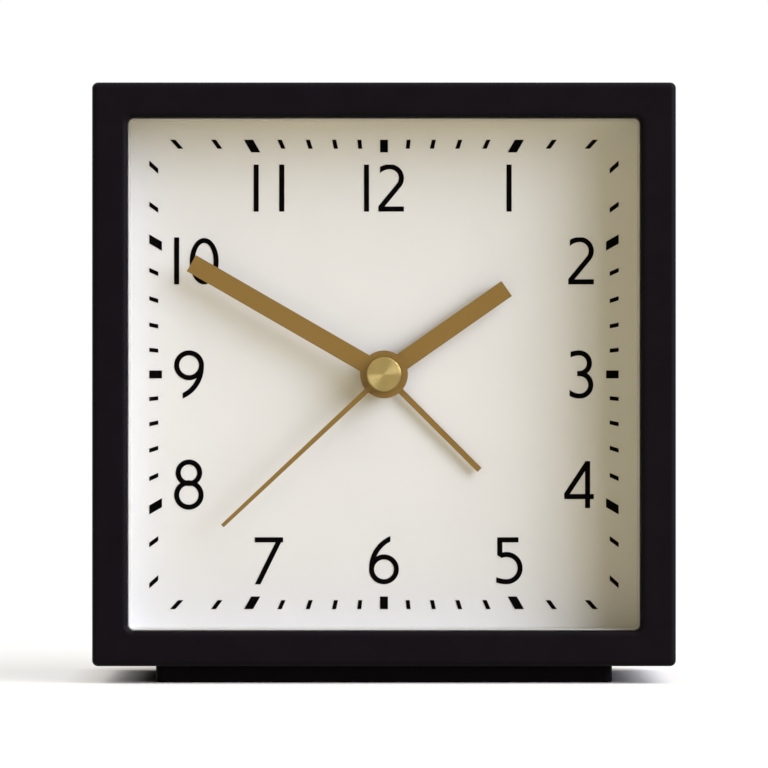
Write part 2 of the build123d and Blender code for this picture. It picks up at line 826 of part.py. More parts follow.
# Third wheel, between the second pinion and the centre wheel
third_wheel_phase = meshed_phase(second_pinion_teeth, second_phase, third_wheel_teeth, -pi / 2)
third_pinion_phase = 0
with BuildPart() as third_wheel:
    add_pivots(
        third_place,
        mid_plate_back + running_clearance,
        rear_wall_front - running_clearance,
        train_arbor_radius,
    )
    add_gear(
        third_place, centre_layer, train_wheel_thickness, third_pinion_teeth, centre_module, third_pinion_phase
    )
    add_gear(
        third_place, third_layer, train_wheel_thickness, third_wheel_teeth, third_module, third_wheel_phase
    )
third_wheel.part.label = "third_wheel"
export_step(third_wheel.part, "parts/third_wheel.step")

# Centre wheel, with a tube through the middle plate and a nose that drives the cannon pinion by friction
centre_phase = meshed_phase(third_pinion_teeth, third_pinion_phase, centre_wheel_teeth, pi / 2)
with BuildPart() as centre_wheel:
    centre_back = centre_layer + train_wheel_thickness
    cannon_back = minute_layer + motion_wheel_thickness
    add_tube(centre_place, cannon_back + running_clearance, centre_back, cannon_radius, cannon_bore)
    add_tube(centre_place, cannon_back - clutch_length, centre_back, clutch_radius, cannon_bore)
    add_gear(
        centre_place,
        centre_layer,
        train_wheel_thickness,
        centre_wheel_teeth,
        centre_module,
        centre_phase,
        cannon_bore,
    )
centre_wheel.part.label = "centre_wheel"
export_step(centre_wheel.part, "parts/centre_wheel.step")

# Cannon pinion: the tube that carries the minute hand
cannon_phase = 0
with BuildPart() as cannon_pinion:
    cannon_front = minute_hand_front - tube_proud
    add_tube(centre_place, cannon_front, cannon_back, cannon_radius, cannon_bore)
    add_gear(
        centre_place,
        minute_layer,
        motion_wheel_thickness,
        cannon_teeth,
        minute_module,
        cannon_phase,
        cannon_bore,
    )
    clutch_front = cannon_back - clutch_length - running_clearance
    add_disc(centre_place, clutch_front, cannon_back, clutch_radius + running_clearance, Mode.SUBTRACT)
cannon_pinion.part.label = "cannon_pinion"
export_step(cannon_pinion.part, "parts/cannon_pinion.step")

# Minute hand
with BuildPart() as minute_hand:
    add_hand(
        minute_hand_angle,
        hand_reach - minute_hand_gap,
        minute_hand_width,
        minute_hand_width,
        minute_boss_radius,
        cannon_radius + hand_seat_clearance,
        minute_hand_front,
    )
minute_hand.part.label = "minute_hand"
export_step(minute_hand.part, "parts/minute_hand.step")

# Minute wheel and pinion on the setting arbor, which runs out through the back cover
minute_wheel_phase = meshed_phase(cannon_teeth, cannon_phase, minute_wheel_teeth, 0)
minute_pinion_phase = 0
knob_front = cover_back + knob_gap
setting_arbor_back = knob_front + knob_bore_depth
setting_pivot_front = front_plate_back - front_plate_thickness / 2
with BuildPart() as minute_wheel:
    add_disc(setting_place, hour_layer, setting_arbor_back, setting_arbor_radius)
    add_disc(setting_place, setting_pivot_front, hour_layer, setting_pivot_radius)
    add_gear(
        setting_place,
        hour_layer,
        motion_wheel_thickness,
        minute_pinion_teeth,
        hour_module,
        minute_pinion_phase,
    )
    add_gear(
        setting_place,
        minute_layer,
        motion_wheel_thickness,
        minute_wheel_teeth,
        minute_module,
        minute_wheel_phase,
    )
minute_wheel.part.label = "minute_wheel"
export_step(minute_wheel.part, "parts/minute_wheel.step")

# Hour wheel: the tube that carries the hour hand
hour_phase = meshed_phase(minute_pinion_teeth, minute_pinion_phase, hour_wheel_teeth, pi)
with BuildPart() as hour_wheel:
    hour_tube_front = hour_hand_front - tube_proud
    hour_wheel_back = hour_layer + motion_wheel_thickness
    add_tube(centre_place, hour_tube_front, hour_wheel_back, hour_tube_radius, hour_tube_bore)
    add_gear(
        centre_place,
        hour_layer,
        motion_wheel_thickness,
        hour_wheel_teeth,
        hour_module,
        hour_phase,
        hour_tube_bore,
    )
hour_wheel.part.label = "hour_wheel"
export_step(hour_wheel.part, "parts/hour_wheel.step")

# Hour hand
with BuildPart() as hour_hand:
    add_hand(
        hour_hand_angle,
        numeral_half - numeral_height - hour_hand_gap,
        hour_hand_width,
        hour_hand_width,
        hour_boss_radius,
        hour_tube_radius + hand_seat_clearance,
        hour_hand_front,
    )
hour_hand.part.label = "hour_hand"
export_step(hour_hand.part, "parts/hour_hand.step")

# Alarm wheel: the tube that carries the alarm hand
alarm_phase = 0
with BuildPart() as alarm_wheel:
    alarm_tube_front = alarm_hand_front - tube_proud
    alarm_wheel_back = alarm_layer + motion_wheel_thickness
    add_tube(centre_place, alarm_tube_front, alarm_wheel_back, alarm_tube_radius, alarm_tube_bore)
    add_gear(
        centre_place,
        alarm_layer,
        motion_wheel_thickness,
        alarm_wheel_teeth,
        alarm_module,
        alarm_phase,
        alarm_tube_bore,
    )
alarm_wheel.part.label = "alarm_wheel"
export_step(alarm_wheel.part, "parts/alarm_wheel.step")

# Alarm hand
with BuildPart() as alarm_hand:
    add_hand(
        alarm_hand_angle,
        numeral_half - numeral_height - alarm_hand_gap,
        alarm_hand_width,
        alarm_hand_tip_width,
        alarm_boss_radius,
        alarm_tube_radius + hand_seat_clearance,
        alarm_hand_front,
    )
alarm_hand.part.label = "alarm_hand"
export_step(alarm_hand.part, "parts/alarm_hand.step")

# Alarm setting arbor with its pinion
alarm_pinion_phase = meshed_phase(alarm_wheel_teeth, alarm_phase, alarm_pinion_teeth, pi)
with BuildPart() as alarm_set_arbor:
    add_disc(alarm_place, alarm_layer, setting_arbor_back, setting_arbor_radius)
    add_disc(alarm_place, setting_pivot_front, alarm_layer, setting_pivot_radius)
    add_gear(
        alarm_place,
        alarm_layer,
        motion_wheel_thickness,
        alarm_pinion_teeth,
        alarm_module,
        alarm_pinion_phase,
    )
alarm_set_arbor.part.label = "alarm_set_arbor"
export_step(alarm_set_arbor.part, "parts/alarm_set_arbor.step")


def make_knob(place):
    """A round setting knob with a grooved rim and a dished end, open at the front for its arbor."""
    knob_back = knob_front + knob_height
    with BuildPart() as knob:
        add_disc(place, knob_front, knob_back, knob_radius)
        fillet(knob.faces().sort_by(Axis.Y)[-1].edges(), knob_edge_radius)
        add_disc(place, knob_back - knob_dish_depth, knob_back, knob_dish_radius, Mode.SUBTRACT)
        with BuildSketch(front_plane(knob_front, place)) as grooves:
            with PolarLocations(knob_radius, knob_groove_count):
                Circle(knob_groove_radius)
        extrude(grooves.sketch, amount=-knob_height, mode=Mode.SUBTRACT)
        bore_back = setting_arbor_back + hand_seat_clearance
        add_disc(place, knob_front, bore_back, setting_arbor_radius + hand_seat_clearance, Mode.SUBTRACT)
    return knob


# Time setting knob and alarm setting knob
time_set_knob = make_knob(setting_place)
time_set_knob.part.label = "time_set_knob"
export_step(time_set_knob.part, "parts/time_set_knob.step")
alarm_set_knob = make_knob(alarm_place)
alarm_set_knob.part.label = "alarm_set_knob"
export_step(alarm_set_knob.part, "parts/alarm_set_knob.step")

# Front plate of the movement, with the centre pipe, the screw posts and the front pivot holes
with BuildPart() as front_plate:
    with BuildSketch(front_plane(dial_back, (0, (housing_top + housing_bottom) / 2))):
        RectangleRounded(2 * housing_half, housing_top - housing_bottom, housing_corner_radius)
    extrude(amount=-front_plate_thickness)
    add_disc(centre_place, dial_front - pipe_proud, front_plate_back, pipe_radius)
    add_disc(centre_place, dial_front - pipe_proud, front_plate_back, pipe_bore, Mode.SUBTRACT)
    for place in screw_places:
        add_disc(place, front_plate_back, mid_plate_front, screw_post_radius)
        post_hole = screw_radius + screw_clearance
        add_disc(place, front_plate_back, mid_plate_front, post_hole, Mode.SUBTRACT)
    for place in (setting_place, alarm_place):
        pivot_hole_front = setting_pivot_front - pivot_end_gap
        pivot_hole = setting_pivot_radius + running_clearance
        add_disc(place, pivot_hole_front, front_plate_back, pivot_hole, Mode.SUBTRACT)
front_plate.part.label = "front_plate"
export_step(front_plate.part, "parts/front_plate.step")

# Middle plate, with pivot holes for the train and posts for the stator, the board and the alarm contact
with BuildPart() as mid_plate:
    plate_top = housing_top - housing_wall - mid_plate_clearance
    plate_bottom = chamber_bottom + mid_plate_clearance
    plate_place = (0, (plate_top + plate_bottom) / 2)
    plate_size = (2 * (inner_half - mid_plate_clearance), plate_top - plate_bottom)
    add_block(plate_place, plate_size, mid_plate_front, mid_plate_back)
    for side in (-1, 1):
        stator_post = (side * stator_arm_place, rotor_place[1])
        add_disc(stator_post, mid_plate_back, stator_front, stator_post_radius)
    for place in board_posts:
        add_disc(place, mid_plate_back, board_front, board_post_radius)
    add_disc(leaf_post_place, leaf_front + leaf_thickness, mid_plate_front, leaf_post_radius)
    add_disc(centre_place, mid_plate_front, mid_plate_back, hour_tube_bore, Mode.SUBTRACT)
    for place in (setting_place, alarm_place):
        arbor_hole = setting_arbor_radius + running_clearance
        add_disc(place, mid_plate_front, mid_plate_back, arbor_hole, Mode.SUBTRACT)
    for place in (third_place, intermediate_place, rotor_place):
        pivot_hole = pivot_radius + running_clearance
        add_disc(place, mid_plate_front, mid_plate_back, pivot_hole, Mode.SUBTRACT)
    for place in screw_places:
        add_disc(place, mid_plate_front, mid_plate_back, screw_radius + screw_clearance, Mode.SUBTRACT)
mid_plate.part.label = "mid_plate"
export_step(mid_plate.part, "parts/mid_plate.step")

# Rear housing: walls round the wheels, the battery bay, and the rear pivots
with BuildPart() as rear_housing:
    with BuildSketch(front_plane(front_plate_back, (0, (housing_top + housing_bottom) / 2))):
        RectangleRounded(2 * housing_half, housing_top - housing_bottom, housing_corner_radius)
    extrude(amount=front_plate_back - cover_front)
    chamber_top = housing_top - housing_wall
    chamber_place = (0, (chamber_top + chamber_bottom) / 2)
    chamber_size = (2 * inner_half, chamber_top - chamber_bottom)
    add_block(chamber_place, chamber_size, front_plate_back, rear_wall_front, Mode.SUBTRACT)
    bay_size = (2 * inner_half, bay_top - bay_bottom)
    add_block((0, cell_height), bay_size, front_plate_back, cover_front, Mode.SUBTRACT)
    for place in screw_places:
        add_disc(place, mid_plate_back, rear_wall_front, screw_post_radius)
        add_disc(place, mid_plate_back, cover_front, screw_radius + screw_clearance, Mode.SUBTRACT)
        head_seat = cover_front - screw_head_height - head_clearance
        add_disc(place, head_seat, cover_front, screw_head_radius + head_clearance, Mode.SUBTRACT)
    for place in (setting_place, alarm_place):
        arbor_hole = setting_arbor_radius + running_clearance
        add_disc(place, rear_wall_front, cover_front, arbor_hole, Mode.SUBTRACT)
    for place in (centre_place, third_place, intermediate_place, rotor_place):
        pivot_hole = pivot_radius + running_clearance
        hole_back = rear_wall_front + pivot_length + pivot_end_gap
        add_disc(place, rear_wall_front, hole_back, pivot_hole, Mode.SUBTRACT)
    with BuildSketch(front_plane(rear_wall_front, sounder_place)):
        with GridLocations(0, slot_pitch, 1, slot_count):
            SlotOverall(slot_length, slot_width)
    extrude(amount=-rear_wall_thickness, mode=Mode.SUBTRACT)
    pocket_size = (
        switch_plate_length + switch_travel + 2 * switch_clearance,
        switch_plate_height + 2 * switch_clearance,
    )
    pocket_place = (switch_side + switch_travel / 2, switch_rise)
    add_block(pocket_place, pocket_size, switch_pocket_front, cover_front, Mode.SUBTRACT)
rear_housing.part.label = "rear_housing"
export_step(rear_housing.part, "parts/rear_housing.step")

# Four screws through the movement, from the rear housing to the front plate's posts
with BuildPart() as movement_screws:
    for place in screw_places:
        screw_head_back = cover_front - head_clearance
        shank_length = screw_head_back - screw_head_height - front_plate_back - screw_tip_gap
        add_screw(
            place, screw_head_back, shank_length, screw_radius, screw_head_radius, screw_head_height
        )
movement_screws.part.label = "movement_screws"
export_step(movement_screws.part, "parts/movement_screws.step")

# Stator of the stepping motor: a bar round the rotor with two arms up to the coil
with BuildPart() as stator:
    bar_height = 2 * (stator_bore + stator_rim)
    arm_top = coil_height + core_height / 2
    arm_height = arm_top - rotor_place[1]
    add_block(rotor_place, (2 * stator_half_span, bar_height), stator_front, stator_back)
    for side in (-1, 1):
        arm_place = (side * stator_arm_place, rotor_place[1] + arm_height / 2)
        add_block(arm_place, (stator_arm_width, arm_height), stator_front, stator_back)
    add_disc(rotor_place, stator_front, stator_back, stator_bore, Mode.SUBTRACT)
stator.part.label = "stator"
export_step(stator.part, "parts/stator.step")

# Coil core across the stator's arms
with BuildPart() as coil_core:
    core_size = (2 * stator_half_span, core_height)
    add_block((0, coil_height), core_size, stator_back, stator_back + core_thickness)
coil_core.part.label = "coil_core"
export_step(coil_core.part, "parts/coil_core.step")

# Coil bobbin: two flanges on a hub, with a square bore for the core
with BuildPart() as coil_bobbin:
    with BuildSketch(side_plane(-bobbin_half, coil_depth, coil_height)):
        Circle(hub_radius)
    extrude(amount=2 * bobbin_half)
    for flange_start in (-bobbin_half, bobbin_half - flange_thickness):
        with BuildSketch(side_plane(flange_start, coil_depth, coil_height)):
            Circle(flange_radius)
        extrude(amount=flange_thickness)
    with BuildSketch(side_plane(-bobbin_half, coil_depth, coil_height)):
        Rectangle(core_thickness + 2 * core_clearance, core_height + 2 * core_clearance)
    extrude(amount=2 * bobbin_half, mode=Mode.SUBTRACT)
coil_bobbin.part.label = "coil_bobbin"
export_step(coil_bobbin.part, "parts/coil_bobbin.step")

# Coil winding on the bobbin
with BuildPart() as coil_winding:
    winding_half = bobbin_half - flange_thickness
    with BuildSketch(side_plane(-winding_half, coil_depth, coil_height)):
        Circle(winding_radius)
        Circle(hub_radius, mode=Mode.SUBTRACT)
    extrude(amount=2 * winding_half)
coil_winding.part.label = "coil_winding"
export_step(coil_winding.part, "parts/coil_winding.step")

# Circuit board on the middle plate's posts
with BuildPart() as circuit_board:
    add_block((board_side, board_middle), (board_width, board_height), board_front, board_back)
circuit_board.part.label = "circuit_board"
export_step(circuit_board.part, "parts/circuit_board.step")

# Quartz crystal can, lying across the board above the chip
with BuildPart() as quartz_crystal:
    crystal_depth = board_front - crystal_radius - crystal_gap
    crystal_height = board_middle + chip_side / 2 + crystal_chip_gap + crystal_radius
    with BuildSketch(side_plane(board_side - crystal_length / 2, crystal_depth, crystal_height)):
        Circle(crystal_radius)
    extrude(amount=crystal_length)
quartz_crystal.part.label = "quartz_crystal"
export_step(quartz_crystal.part, "parts/quartz_crystal.step")

# Driver chip on the board
with BuildPart() as driver_chip:
    add_block((board_side, board_middle), (chip_side, chip_side), board_front - chip_height, board_front)
driver_chip.part.label = "driver_chip"
export_step(driver_chip.part, "parts/driver_chip.step")

# Sounder case, a ring against the rear wall with a ledge for the disc
with BuildPart() as sounder_case:
    ledge_front = sounder_front + disc_thickness
    disc_radius = sounder_radius - sounder_wall
    add_disc(sounder_place, sounder_front, rear_wall_front, sounder_radius)
    add_disc(sounder_place, sounder_front, ledge_front, disc_radius, Mode.SUBTRACT)
    add_disc(sounder_place, ledge_front, rear_wall_front, disc_radius - sounder_ledge, Mode.SUBTRACT)
sounder_case.part.label = "sounder_case"
export_step(sounder_case.part, "parts/sounder_case.step")

# Sounder disc on its ledge
with BuildPart() as sounder_disc:
    add_disc(sounder_place, sounder_front, ledge_front, disc_radius - disc_clearance)
sounder_disc.part.label = "sounder_disc"
export_step(sounder_disc.part, "parts/sounder_disc.step")

# Alarm contact, a leaf behind the hour wheel
with BuildPart() as alarm_contact_spring:
    add_block(leaf_place, (leaf_length, leaf_width), leaf_front, leaf_front + leaf_thickness)
alarm_contact_spring.part.label = "alarm_contact_spring"
export_step(alarm_contact_spring.part, "parts/alarm_contact_spring.step")

# Battery cell lying in the bay, with its nub to the right
with BuildPart() as battery:
    body_length = cell_length - cell_nub_length
    with BuildSketch(side_plane(-cell_length / 2, cell_depth, cell_height)):
        Circle(cell_diameter / 2)
    extrude(amount=body_length)
    fillet(battery.edges(), cell_edge_radius)
    with BuildSketch(side_plane(cell_length / 2 - cell_nub_length, cell_depth, cell_height)):
        Circle(cell_nub_radius)
    extrude(amount=cell_nub_length)
battery.part.label = "battery"
export_step(battery.part, "parts/battery.step")


def make_contact(side):
    """A strip bent to a U, with one leg on the bay's end wall and one against the cell."""
    wall_leg = inner_half - contact_thickness / 2
    cell_leg = cell_length / 2 + contact_clearance + contact_thickness / 2
    bend_length = wall_leg - cell_leg + contact_thickness
    strip_front = cell_depth - contact_width / 2
    strip_back = cell_depth + contact_width / 2
    with BuildPart() as contact:
        for leg in (wall_leg, cell_leg):
            leg_place = (side * leg, cell_height)
            add_block(leg_place, (contact_thickness, contact_height), strip_front, strip_back)
        bend_height = cell_height - contact_height / 2 + contact_thickness / 2
        bend_place = (side * (wall_leg + cell_leg) / 2, bend_height)
        add_block(bend_place, (bend_length, contact_thickness), strip_front, strip_back)
    return contact


# Spring contacts at the two ends of the bay
positive_contact = make_contact(1)
positive_contact.part.label = "positive_contact"
export_step(positive_contact.part, "parts/positive_contact.step")
negative_contact = make_contact(-1)
negative_contact.part.label = "negative_contact"
export_step(negative_contact.part, "parts/negative_contact.step")

# Back cover, with holes for the setting arbors, the switch, the sounder, the battery door and its pins
with BuildPart() as back_cover:
    add_block(centre_place, (2 * stack_half, 2 * stack_half), cover_front, cover_back)
    for place in (setting_place, alarm_place):
        arbor_hole = setting_arbor_radius + cover_hole_clearance
        add_disc(place, cover_front, cover_back, arbor_hole, Mode.SUBTRACT)
    add_block((0, cell_height), bay_size, cover_front, cover_back, Mode.SUBTRACT)
    pin_hole_half = door_half + door_pin_length + door_pin_end_gap
    with BuildSketch(side_plane(-pin_hole_half, door_axis_depth, door_axis_height)):
        Circle(door_pin_radius + running_clearance)
    extrude(amount=2 * pin_hole_half, mode=Mode.SUBTRACT)
    switch_slot_size = (
        switch_stem_length + switch_travel + 2 * switch_clearance,
        switch_stem_height + 2 * switch_clearance,
    )
    add_block(pocket_place, switch_slot_size, cover_front, cover_back, Mode.SUBTRACT)
    with BuildSketch(front_plane(cover_front, sounder_place)):
        with GridLocations(0, slot_pitch, 1, slot_count):
            SlotOverall(slot_length, slot_width)
    extrude(amount=-cover_thickness, mode=Mode.SUBTRACT)
    for x_side in (-1, 1):
        for z_side in (-1, 1):
            place = (x_side * post_place, z_side * post_place)
            add_disc(place, cover_front, cover_back, small_screw_radius + screw_clearance, Mode.SUBTRACT)
            head_seat = cover_back - small_head_height - head_clearance
            add_disc(place, head_seat, cover_back, small_head_radius + head_clearance, Mode.SUBTRACT)
back_cover.part.label = "back_cover"
export_step(back_cover.part, "parts/back_cover.step")

# Four screws that hold the cover on the corner posts
with BuildPart() as cover_screws:
    for x_side in (-1, 1):
        for z_side in (-1, 1):
            add_screw(
                (x_side * post_place, z_side * post_place),
                cover_back - head_clearance,
                small_screw_length,
                small_screw_radius,
                small_head_radius,
                small_head_height,
            )
cover_screws.part.label = "cover_screws"
export_step(cover_screws.part, "parts/cover_screws.step")

# Battery door, rounded along its lower edge about two pins, with a finger groove near its upper edge
with BuildPart() as battery_door:
    with BuildSketch(side_plane(-door_half, door_axis_depth, door_axis_height)):
        Circle(cover_thickness / 2)
        with Locations((0, door_rise / 2)):
            Rectangle(cover_thickness, door_rise)
    extrude(amount=2 * door_half)
    pin_half = door_half + door_pin_length
    with BuildSketch(side_plane(-pin_half, door_axis_depth, door_axis_height)):
        Circle(door_pin_radius)
    extrude(amount=2 * pin_half)
    grip_height = door_axis_height + door_rise - door_grip_margin - door_grip_height / 2
    with BuildSketch(front_plane(cover_back - door_grip_depth, (0, grip_height))):
        SlotOverall(door_grip_length, door_grip_height)
    extrude(amount=-door_grip_depth, mode=Mode.SUBTRACT)
battery_door.part.label = "battery_door"
export_step(battery_door.part, "parts/battery_door.step")

# Alarm switch: a slide in the rear wall's pocket with a ribbed finger piece through the cover
with BuildPart() as alarm_switch:
    plate_front = switch_pocket_front + switch_clearance / 2
    plate_back = plate_front + switch_plate_thickness
    stem_size = (switch_stem_length, switch_stem_height)
    stem_back = cover_back + switch_stand
    add_block(switch_place, (switch_plate_length, switch_plate_height), plate_front, plate_back)
    add_block(switch_place, stem_size, plate_front, stem_back)
    with BuildSketch(front_plane(stem_back - switch_rib_width, switch_place)):
        with GridLocations(2 * switch_rib_width, 0, switch_rib_count, 1):
            Rectangle(switch_rib_width, switch_stem_height)
    extrude(amount=-switch_rib_width, mode=Mode.SUBTRACT)
alarm_switch.part.label = "alarm_switch"
export_step(alarm_switch.part, "parts/alarm_switch.step")
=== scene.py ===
import json
from math import cos, radians, sin

import bmesh
import bpy
from mathutils import Matrix, Vector


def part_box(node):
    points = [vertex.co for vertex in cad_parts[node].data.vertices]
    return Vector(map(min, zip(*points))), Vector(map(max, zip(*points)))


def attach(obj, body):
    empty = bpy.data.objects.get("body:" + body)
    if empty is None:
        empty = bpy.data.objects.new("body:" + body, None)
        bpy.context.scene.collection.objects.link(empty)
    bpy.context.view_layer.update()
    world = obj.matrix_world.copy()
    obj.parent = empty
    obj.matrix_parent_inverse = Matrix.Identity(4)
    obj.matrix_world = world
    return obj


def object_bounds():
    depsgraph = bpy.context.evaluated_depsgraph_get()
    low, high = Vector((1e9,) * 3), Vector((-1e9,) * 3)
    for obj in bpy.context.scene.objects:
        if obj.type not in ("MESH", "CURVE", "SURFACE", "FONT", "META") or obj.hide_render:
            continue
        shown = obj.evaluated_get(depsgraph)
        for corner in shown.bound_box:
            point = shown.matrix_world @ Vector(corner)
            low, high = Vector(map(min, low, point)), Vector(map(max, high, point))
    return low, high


# A square black table alarm clock with a cream dial and brass hands. Lengths are in metres and angles in
# degrees.
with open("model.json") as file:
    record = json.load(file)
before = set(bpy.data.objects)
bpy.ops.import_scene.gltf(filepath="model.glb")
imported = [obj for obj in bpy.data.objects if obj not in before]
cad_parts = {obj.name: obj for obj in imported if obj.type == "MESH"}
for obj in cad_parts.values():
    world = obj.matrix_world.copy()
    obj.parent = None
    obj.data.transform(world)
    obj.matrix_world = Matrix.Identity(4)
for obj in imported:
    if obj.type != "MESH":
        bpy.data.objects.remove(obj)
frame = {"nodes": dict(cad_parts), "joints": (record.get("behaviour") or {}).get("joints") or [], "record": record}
cad_low, cad_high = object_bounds()

MM = 0.001
HALF_TURN = 180
FULL_TURN = 360
WHITE = (1, 1, 1, 1)

# Camera: level and straight on to the dial, with its sensor in millimetres
CAMERA_DISTANCE = 800 * MM
CAMERA_HEIGHT = 51.34 * MM
CAMERA_TILT = 90
SENSOR_WIDTH = 36.0
VIEW_WIDTH = 131.4 * MM

# Noise in the finishes: where most of its values lie, and its levels of detail
NOISE_RANGE = (0.3, 0.7)
GRAIN_DETAIL = 2.0
STREAK_DETAIL = 3.0
CLOUD_DETAIL = 4.0

# Moulded plastics by material slot. The tone varies in clouds many grains wide, and the roughness grain by
# grain.
CLOUD_GRAINS = 40
PLASTIC_TONE_SHARE = 0.15
PLASTIC_ROUGHNESS_SPREAD = 0.06
PLASTICS = {
    "case_black": {
        "colour": (0.0042, 0.0028, 0.0042), "roughness": 0.46, "specular": 0.045,
        "grain": 0.12 * MM, "depth": 0.01 * MM,
    },
    "plinth_black": {
        "colour": (0.0024, 0.0016, 0.0024), "roughness": 0.5, "specular": 0.03,
        "grain": 0.15 * MM, "depth": 0.01 * MM,
    },
    "cover_black": {
        "colour": (0.011, 0.0105, 0.011), "roughness": 0.5, "specular": 0.2,
        "grain": 0.3 * MM, "depth": 0.03 * MM,
    },
    "knob_black": {
        "colour": (0.017, 0.0165, 0.017), "roughness": 0.4, "specular": 0.3,
        "grain": 0.2 * MM, "depth": 0.01 * MM,
    },
    "switch_cream": {
        "colour": (0.62, 0.58, 0.5), "roughness": 0.4, "specular": 0.4,
        "grain": 0.2 * MM, "depth": 0.005 * MM, "tone_share": 0.03,
    },
    "dial_cream": {
        "colour": (0.815, 0.795, 0.79), "roughness": 0.6, "specular": 0.1,
        "grain": 0.25 * MM, "depth": 0.004 * MM, "tone_share": 0.012,
    },
    "spacer_cream": {
        "colour": (0.62, 0.6, 0.56), "roughness": 0.6, "specular": 0.1,
        "grain": 0.25 * MM, "depth": 0.004 * MM, "tone_share": 0.015,
    },
    "print_black": {
        "colour": (0.0024, 0.002, 0.002), "roughness": 0.5, "specular": 0.01,
        "grain": 0.1 * MM, "depth": 0.003 * MM,
    },
    "movement_grey": {
        "colour": (0.05, 0.05, 0.053), "roughness": 0.5, "specular": 0.3,
        "grain": 0.2 * MM, "depth": 0.01 * MM,
    },
    "wheel_white": {
        "colour": (0.7, 0.68, 0.62), "roughness": 0.35, "specular": 0.4,
        "grain": 0.2 * MM, "depth": 0.004 * MM, "tone_share": 0.03,
    },
    "bobbin_black": {
        "colour": (0.03, 0.03, 0.03), "roughness": 0.45, "specular": 0.3,
        "grain": 0.2 * MM, "depth": 0.01 * MM,
    },
    "board_green": {
        "colour": (0.03, 0.13, 0.06), "roughness": 0.35, "specular": 0.4,
        "grain": 0.4 * MM, "depth": 0.01 * MM,
    },
    "chip_black": {
        "colour": (0.015, 0.015, 0.015), "roughness": 0.3, "specular": 0.4,
        "grain": 0.3 * MM, "depth": 0.02 * MM,
    },
}

# Metals by material slot. Squeeze says how much finer the grain is along each axis.
METAL_TONE_SHARE = 0.06
METAL_ROUGHNESS_SPREAD = 0.05
METALS = {
    "hand_brass": {
        "colour": (0.235, 0.13, 0.022), "roughness": 0.4, "metallic": 0.3,
        "grain": 0.2 * MM, "depth": 0.002 * MM,
    },
    "screw_steel": {
        "colour": (0.5, 0.5, 0.5), "roughness": 0.35,
        "grain": 0.1 * MM, "depth": 0.002 * MM, "squeeze": (1, 1, 8),
    },
    "magnet_grey": {
        "colour": (0.15, 0.15, 0.16), "roughness": 0.5,
        "grain": 0.1 * MM, "depth": 0.004 * MM,
    },
    "stator_steel": {
        "colour": (0.5, 0.5, 0.51), "roughness": 0.35,
        "grain": 0.1 * MM, "depth": 0.002 * MM, "squeeze": (1, 1, 10),
    },
    "winding_copper": {
        "colour": (0.5, 0.2, 0.08), "roughness": 0.3,
        "grain": 0.2 * MM, "depth": 0.02 * MM, "squeeze": (20, 1, 1),
    },
    "contact_steel": {
        "colour": (0.62, 0.62, 0.6), "roughness": 0.25,
        "grain": 0.1 * MM, "depth": 0.002 * MM, "squeeze": (1, 1, 10),
    },
    "disc_brass": {
        "colour": (0.6, 0.45, 0.18), "roughness": 0.3,
        "grain": 0.1 * MM, "depth": 0.002 * MM, "squeeze": (1, 1, 6),
    },
}

# Turned brass of the second hand's cap, with the width of its rings
CAP_COLOUR = (0.4, 0.29, 0.11)
CAP_ROUGHNESS = 0.4
CAP_ROUGHNESS_SPREAD = 0.04
CAP_RING = 0.05 * MM
CAP_ANISOTROPY = 1.0
CAP_ROTATION_SHARE = 0.25

# Lens: what it lets through, and how its gloss rises with the slant
LENS_COLOUR = (0.985, 0.99, 0.985, 1)
LENS_ROUGHNESS = 0.02
LENS_BLEND = 0.5
LENS_GLOSS_POWER = 5
LENS_GLOSS_SHARE = 0.6

# Battery sleeve: its finish, and where each colour begins along the cell, from its negative end
CELL_ROUGHNESS = 0.31
CELL_ROUGHNESS_SPREAD = 0.05
CELL_GRAIN = 0.3 * MM
CELL_GRAIN_DEPTH = 0.003 * MM
CELL_BAND_SHARES = (
    (0, (0.5, 0.5, 0.5)),
    (0.015, (0.03, 0.03, 0.034)),
    (0.64, (0.5, 0.48, 0.44)),
    (0.68, (0.1, 0.1, 0.11)),
    (0.955, (0.5, 0.5, 0.5)),
)

# Marks on the back: their finish, how far they stand out and sink in, and the width of their lines
MARK_SLOT = "switch_cream"
MARK_RISE = 0.12 * MM
MARK_SINK = 0.05 * MM
MARK_WELD_SHARE = 0.1
MARK_LINE = 0.6 * MM
ARC_STEPS = 24

# Turning arrows below the knobs, with angles from the right towards the top, seen from behind
ARROW_GAP = 2.0 * MM
ARROW_START = 325
ARROW_END = 222
ARROW_HEAD = 2.2 * MM
ARROW_HEAD_TURN = 16

# Pictures above the knobs: their line is a share of the marks' line, and the rest are shares of their radius
PICTURE_RADIUS = 1.8 * MM
PICTURE_GAP = 1.5 * MM
PICTURE_LINE_SHARE = 0.5
CLOCK_HAND_SHARES = (0.5, 0.65)
BELL_DOME_SHARE = 0.55
BELL_DOME_PLACE_SHARE = 0.3
BELL_WAIST_PLACE_SHARE = -0.2
BELL_MOUTH_SHARE = 0.9
BELL_MOUTH_PLACE_SHARE = -0.6
CLAPPER_SHARE = 0.18
CLAPPER_PLACE_SHARE = -0.85

# Words beside the switch: their type, the height of its capitals, and their room
WORD_SIZE = 2.6 * MM
WORD_HEIGHT_SHARE = 0.69
WORD_GAP = 1.2 * MM

# Picture of a battery on its door: its size, its height above the door's foot, how far in from its ends the
# signs are, and half their length
CELL_LENGTH = 26.0 * MM
CELL_HEIGHT = 5.8 * MM
CELL_NUB_LENGTH = 1.2 * MM
CELL_NUB_HEIGHT = 2.6 * MM
CELL_RISE = 2.3 * MM
SIGN_INSET = 4.0 * MM
SIGN_REACH = 1.5 * MM
SIGN_ARMS = 4

